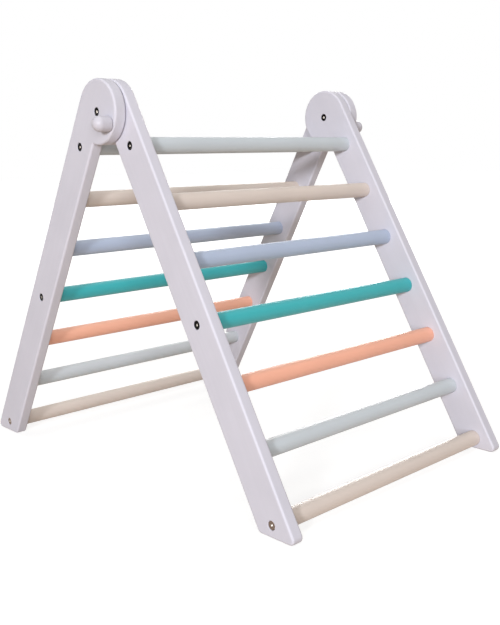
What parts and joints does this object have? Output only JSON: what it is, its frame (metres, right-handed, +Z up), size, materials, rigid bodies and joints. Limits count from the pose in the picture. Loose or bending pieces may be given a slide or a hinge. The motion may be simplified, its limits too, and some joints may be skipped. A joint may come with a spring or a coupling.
{
  "type": "climbing triangle",
  "caption": "Folding wooden climbing triangle for small children: two ladders of round coloured rungs between white rails, hinged at the top and held open by a lock knob on each side.",
  "frame": {"origin": "on the floor, at the bottom centre of the bounding box, under the middle of the pivot line", "axes": "+Z up; X along the rungs and the pivot, with left at -X; the narrow front ladder leans towards -Y and the wide rear ladder towards +Y, which is the longest direction"},
  "size_m": [0.7004, 0.8794, 0.7209],
  "materials": {
    "white_paint": "satin white paint on wood",
    "mint_paint": "satin pale grey-green paint",
    "cream_paint": "satin cream paint",
    "sky_paint": "satin grey-blue paint",
    "teal_paint": "satin teal paint",
    "coral_paint": "satin coral paint",
    "black_steel": "black oxide",
    "plated_steel": "nickel plate",
    "nylon": "natural nylon"
  },
  "bodies": {
    "front_frame": {"front_rail_left": "white_paint", "front_rail_right": "white_paint", "front_rung_1": "mint_paint", "front_rung_2": "cream_paint", "front_rung_3": "sky_paint", "front_rung_4": "teal_paint", "front_rung_5": "coral_paint", "front_rung_6": "mint_paint", "front_rung_7": "cream_paint", "front_screw_1_left": "black_steel", "front_screw_1_right": "black_steel", "front_screw_4_left": "black_steel", "front_screw_4_right": "black_steel", "front_screw_7_left": "plated_steel", "front_screw_7_right": "plated_steel", "pivot_bolt_left": "black_steel", "pivot_bolt_right": "black_steel", "pivot_nut_left": "black_steel", "pivot_nut_right": "black_steel", "pivot_washer_left": "nylon", "pivot_washer_right": "nylon"},
    "rear_frame": {"rear_rail_left": "white_paint", "rear_rail_right": "white_paint", "rear_rung_1": "mint_paint", "rear_rung_2": "cream_paint", "rear_rung_3": "sky_paint", "rear_rung_4": "teal_paint", "rear_rung_5": "coral_paint", "rear_rung_6": "mint_paint", "rear_rung_7": "cream_paint", "rear_screw_1_left": "black_steel", "rear_screw_1_right": "black_steel", "rear_screw_4_left": "black_steel", "rear_screw_4_right": "black_steel", "rear_screw_7_left": "plated_steel", "rear_screw_7_right": "plated_steel", "lock_insert_left": "plated_steel", "lock_insert_right": "plated_steel"},
    "left_lock_washer": {"lock_washer_left": "plated_steel"},
    "left_lock_knob": {"lock_knob_left": "white_paint", "lock_stud_left": "plated_steel"},
    "right_lock_washer": {"lock_washer_right": "plated_steel"},
    "right_lock_knob": {"lock_knob_right": "white_paint", "lock_stud_right": "plated_steel"}
  },
  "joints": [
    {"name": "fold", "type": "hinge", "parent": "front_frame", "child": "rear_frame", "pos_m": [0, 0, 0.6635], "axis": [1, 0, 0], "range_deg": [-54.6, 0]},
    {"name": "left_lock_travel", "type": "slide", "parent": "rear_frame", "child": "left_lock_washer", "axis": [-1, 0, 0], "range_m": [0, 0.009]},
    {"name": "left_lock_turn", "type": "hinge", "parent": "left_lock_washer", "child": "left_lock_knob", "pos_m": [-0.3192, -0.03798, 0.64146], "axis": [-1, 0, 0], "range_deg": [0, 2592]},
    {"name": "right_lock_travel", "type": "slide", "parent": "rear_frame", "child": "right_lock_washer", "axis": [1, 0, 0], "range_m": [0, 0.009]},
    {"name": "right_lock_turn", "type": "hinge", "parent": "right_lock_washer", "child": "right_lock_knob", "pos_m": [0.3192, -0.03798, 0.64146], "axis": [1, 0, 0], "range_deg": [0, 2592]}
  ],
  "couplings": [
    {"joint": "left_lock_turn", "follows": "left_lock_travel", "rad_per_m": 5026.5},
    {"joint": "right_lock_turn", "follows": "right_lock_travel", "rad_per_m": 5026.5}
  ]
}
